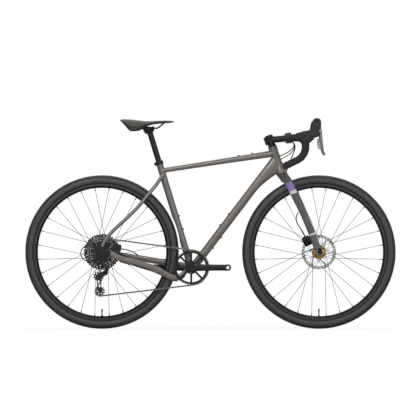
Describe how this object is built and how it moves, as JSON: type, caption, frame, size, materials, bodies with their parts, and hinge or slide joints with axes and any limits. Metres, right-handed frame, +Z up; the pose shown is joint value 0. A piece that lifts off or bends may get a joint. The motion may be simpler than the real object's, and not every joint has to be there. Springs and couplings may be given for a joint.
{
  "type": "gravel bike",
  "caption": "Drop-bar gravel bicycle with disc brakes, one chainring, a wide-range derailleur, slick tyres and working steering, wheels, crank, levers and seatpost; pedals not fitted.",
  "frame": {"origin": "on the ground midway between the two axles, in the frame's middle plane", "axes": "+X forward, +Y to the rider's left, +Z up; the drive side faces -Y"},
  "size_m": [1.7179, 0.4876, 0.9747],
  "materials": {
    "frame_paint": "satin warm grey paint",
    "fork_paint": "satin dark grey paint",
    "black_alloy": "black anodised",
    "black_steel": "black coated steel",
    "silver_steel": "ground steel",
    "copper_alloy": "copper anodised",
    "grey_alloy": "bead-blasted grey",
    "chain_steel": "plated steel",
    "tyre_rubber": "matt slick tread",
    "grip_rubber": "textured rubber",
    "bar_wrap": "cork-rubber tape",
    "saddle_skin": "grey-brown synthetic cover",
    "black_plastic": "moulded nylon"
  },
  "bodies": {
    "frame": {"head_tube": "frame_paint", "top_tube": "frame_paint", "down_tube": "frame_paint", "seat_tube": "frame_paint", "bottom_bracket_shell": "frame_paint", "chainstay_right": "frame_paint", "chainstay_left": "frame_paint", "seatstays": "frame_paint", "dropouts": "frame_paint", "rear_axle": "black_alloy", "bottom_bracket_cups": "black_alloy", "headset_bearings": "silver_steel", "seat_collar": "black_alloy", "rear_caliper": "black_alloy", "rear_brake_hose": "black_plastic", "shift_housing": "black_plastic", "boss_bolts": "black_steel", "derailleur_b_knuckle": "black_alloy", "chain": "chain_steel"},
    "seat": {"seatpost": "black_alloy", "saddle_clamp": "black_alloy", "saddle_rails": "black_steel", "saddle_base": "black_plastic", "saddle_cover": "saddle_skin"},
    "steering": {"fork": "fork_paint", "headset_spacers": "black_alloy", "stem": "black_alloy", "stem_faceplate": "black_alloy", "handlebar": "black_alloy", "bar_tape": "bar_wrap", "bar_end_plugs": "black_plastic", "lever_hoods": "grip_rubber", "front_caliper": "black_alloy", "front_brake_hose": "black_plastic", "front_axle": "black_alloy", "cockpit_bolts": "black_steel", "control_lines": "black_plastic"},
    "brake_lever_right": {"brake_lever_right": "grey_alloy"},
    "brake_lever_left": {"brake_lever_left": "grey_alloy"},
    "shift_paddle": {"shift_paddle": "grey_alloy"},
    "front_wheel": {"front_tyre": "tyre_rubber", "front_rim": "black_alloy", "front_spokes": "black_steel", "front_hub": "copper_alloy", "front_rotor": "silver_steel"},
    "rear_wheel": {"rear_tyre": "tyre_rubber", "rear_rim": "black_alloy", "rear_spokes": "black_steel", "rear_hub": "copper_alloy", "rear_rotor": "silver_steel"},
    "cassette": {"cassette": "black_steel"},
    "crank": {"crank_right": "black_alloy", "crank_left": "black_alloy", "chainring": "black_alloy"},
    "derailleur_outer_link": {"derailleur_outer_link": "black_alloy"},
    "derailleur_inner_link": {"derailleur_inner_link": "black_alloy"},
    "derailleur_p_knuckle": {"derailleur_p_knuckle": "black_alloy"},
    "derailleur_cage": {"derailleur_cage": "black_alloy"},
    "guide_pulley": {"jockey_upper": "black_plastic"},
    "tension_pulley": {"jockey_lower": "black_plastic"}
  },
  "joints": [
    {"name": "steering", "type": "hinge", "parent": "frame", "child": "steering", "pos_m": [0.32957, 0, 0.72145], "axis": [-0.3256, 0, 0.9455], "range_deg": [-60, 60], "deforming": ["control_lines"]},
    {"name": "front_wheel_spin", "type": "hinge", "parent": "steering", "child": "front_wheel", "pos_m": [0.503, 0, 0.356], "axis": [0, 1, 0], "continuous": true},
    {"name": "rear_wheel_spin", "type": "hinge", "parent": "frame", "child": "rear_wheel", "pos_m": [-0.503, 0, 0.356], "axis": [0, 1, 0], "continuous": true},
    {"name": "crank_spin", "type": "hinge", "parent": "frame", "child": "crank", "pos_m": [-0.08922, 0, 0.284], "axis": [0, 1, 0], "continuous": true, "deforming": ["chain"]},
    {"name": "cassette_spin", "type": "hinge", "parent": "frame", "child": "cassette", "pos_m": [-0.503, 0, 0.356], "axis": [0, 1, 0], "continuous": true, "deforming": ["chain"]},
    {"name": "seat_height", "type": "slide", "parent": "frame", "child": "seat", "axis": [-0.2924, 0, 0.9563], "range_m": [-0.08, 0.08]},
    {"name": "brake_lever_right_pull", "type": "hinge", "parent": "steering", "child": "brake_lever_right", "pos_m": [0.50808, -0.21, 0.91822], "axis": [0, 1, 0], "range_deg": [0, 28], "stiffness_Nm_per_rad": 3, "springref_deg": -5.73},
    {"name": "brake_lever_left_pull", "type": "hinge", "parent": "steering", "child": "brake_lever_left", "pos_m": [0.50808, 0.21, 0.91822], "axis": [0, 1, 0], "range_deg": [0, 28], "stiffness_Nm_per_rad": 3, "springref_deg": -5.73},
    {"name": "shift_paddle_press", "type": "hinge", "parent": "brake_lever_right", "child": "shift_paddle", "pos_m": [0.50008, -0.21, 0.87222], "axis": [0.1275, 0, -0.9918], "range_deg": [0, 18], "stiffness_Nm_per_rad": 0.6, "springref_deg": -5.73},
    {"name": "derailleur_shift", "type": "hinge", "parent": "frame", "child": "derailleur_outer_link", "pos_m": [-0.51098, -0.07686, 0.3096], "axis": [0.5257, 0.2487, 0.8135], "range_deg": [-38, 9], "deforming": ["chain"]},
    {"name": "derailleur_inner_swing", "type": "hinge", "parent": "frame", "child": "derailleur_inner_link", "pos_m": [-0.51567, -0.06267, 0.30828], "axis": [0.5257, 0.2487, 0.8135], "range_deg": [-38, 9]},
    {"name": "derailleur_knuckle_swing", "type": "hinge", "parent": "derailleur_outer_link", "child": "derailleur_p_knuckle", "pos_m": [-0.473, -0.06688, 0.282], "axis": [0.5257, 0.2487, 0.8135], "range_deg": [-9, 38]},
    {"name": "derailleur_cage_swing", "type": "hinge", "parent": "derailleur_p_knuckle", "child": "derailleur_cage", "pos_m": [-0.487, -0.03588, 0.26], "axis": [0, 1, 0], "range_deg": [-45, 3], "stiffness_Nm_per_rad": 1.2, "deforming": ["chain"]},
    {"name": "guide_pulley_spin", "type": "hinge", "parent": "derailleur_cage", "child": "guide_pulley", "pos_m": [-0.52066, -0.03588, 0.24334], "axis": [0, 1, 0], "continuous": true, "deforming": ["chain"]},
    {"name": "tension_pulley_spin", "type": "hinge", "parent": "derailleur_cage", "child": "tension_pulley", "pos_m": [-0.51161, -0.03588, 0.17453], "axis": [0, 1, 0], "continuous": true, "deforming": ["chain"]}
  ],
  "couplings": [
    {"joint": "cassette_spin", "follows": "crank_spin", "ratio": 1.25},
    {"joint": "guide_pulley_spin", "follows": "crank_spin", "ratio": -3.6364},
    {"joint": "tension_pulley_spin", "follows": "crank_spin", "ratio": 3.6364},
    {"joint": "derailleur_inner_swing", "follows": "derailleur_shift", "ratio": 1},
    {"joint": "derailleur_knuckle_swing", "follows": "derailleur_shift", "ratio": -1}
  ]
}
